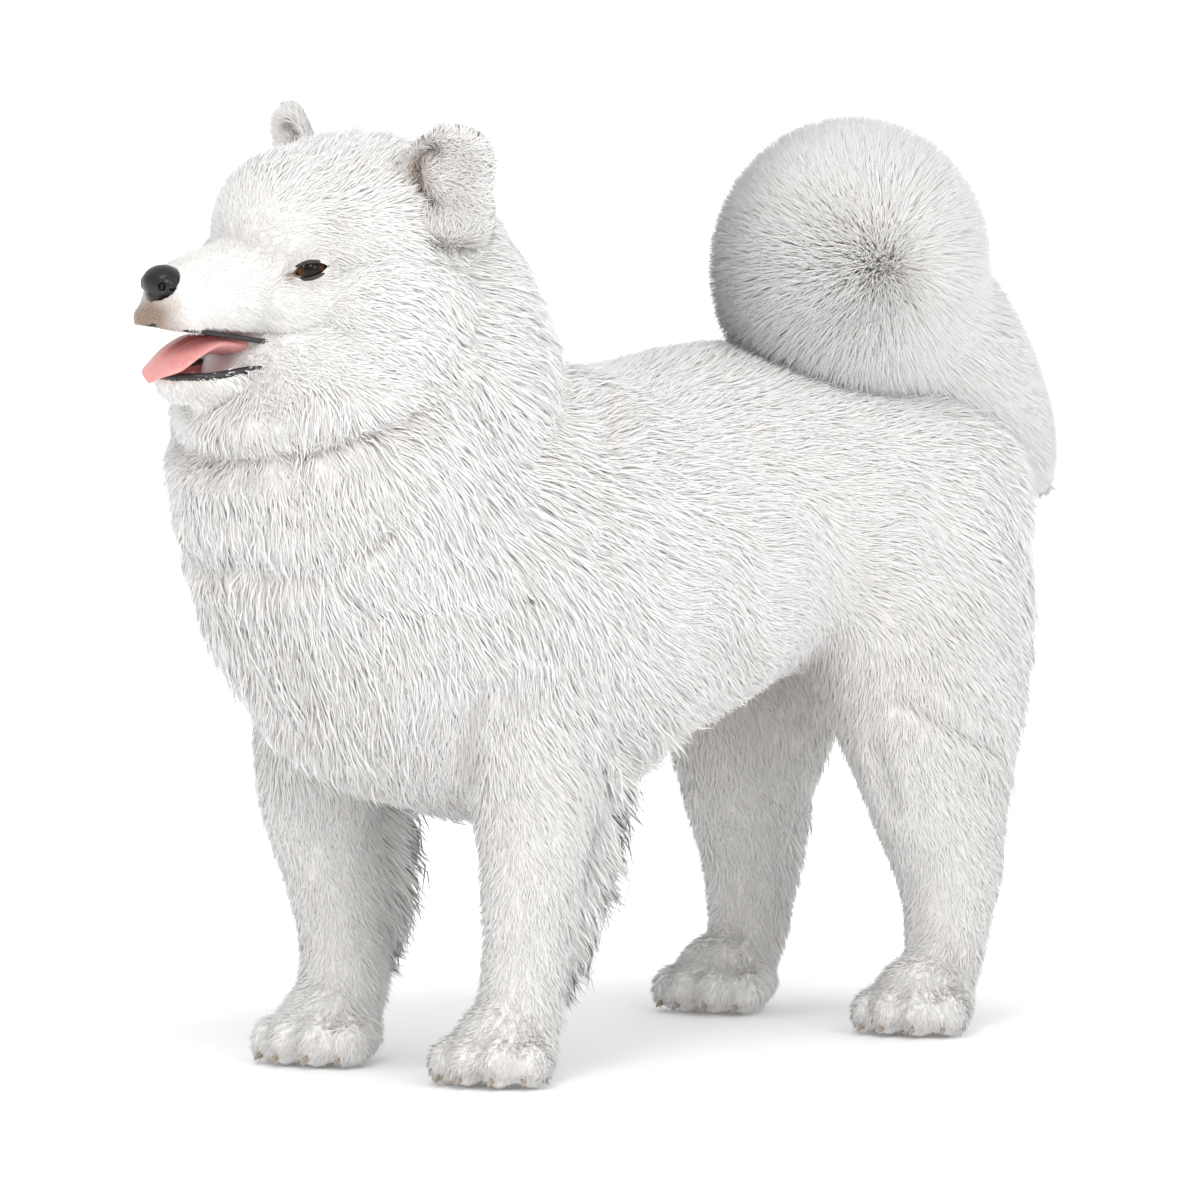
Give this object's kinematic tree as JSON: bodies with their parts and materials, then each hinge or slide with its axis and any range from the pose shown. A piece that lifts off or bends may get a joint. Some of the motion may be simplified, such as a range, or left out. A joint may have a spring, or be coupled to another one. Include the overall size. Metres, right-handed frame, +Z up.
{
  "type": "samoyed dog, life-size still model",
  "caption": "Life-size still model of a standing samoyed with a white coat, open mouth and a plumed tail curled over its back.",
  "frame": {"origin": "on the floor, under the middle of the dog's outline seen from above", "axes": "+Z up, the dog faces -Y, +X to its left side"},
  "size_m": [0.364, 1.0545, 0.8566],
  "materials": {
    "coat": "dense white double coat, matt",
    "nose": "black, moist, finely pebbled",
    "eye": "dark brown, glossy",
    "tongue": "pink, moist"
  },
  "bodies": {
    "root": {"head": "coat", "lower_jaw": "coat", "nose": "nose", "tongue": "tongue", "eye_left": "eye", "eye_right": "eye", "ear_left": "coat", "ear_right": "coat", "neck": "coat", "torso": "coat", "foreleg_left": "coat", "foreleg_right": "coat", "forepaw_left": "coat", "forepaw_right": "coat", "hindleg_left": "coat", "hindleg_right": "coat", "hock_left": "coat", "hock_right": "coat", "hindpaw_left": "coat", "hindpaw_right": "coat", "tail_root": "coat", "tail_curl": "coat"}
  },
  "joints": []
}
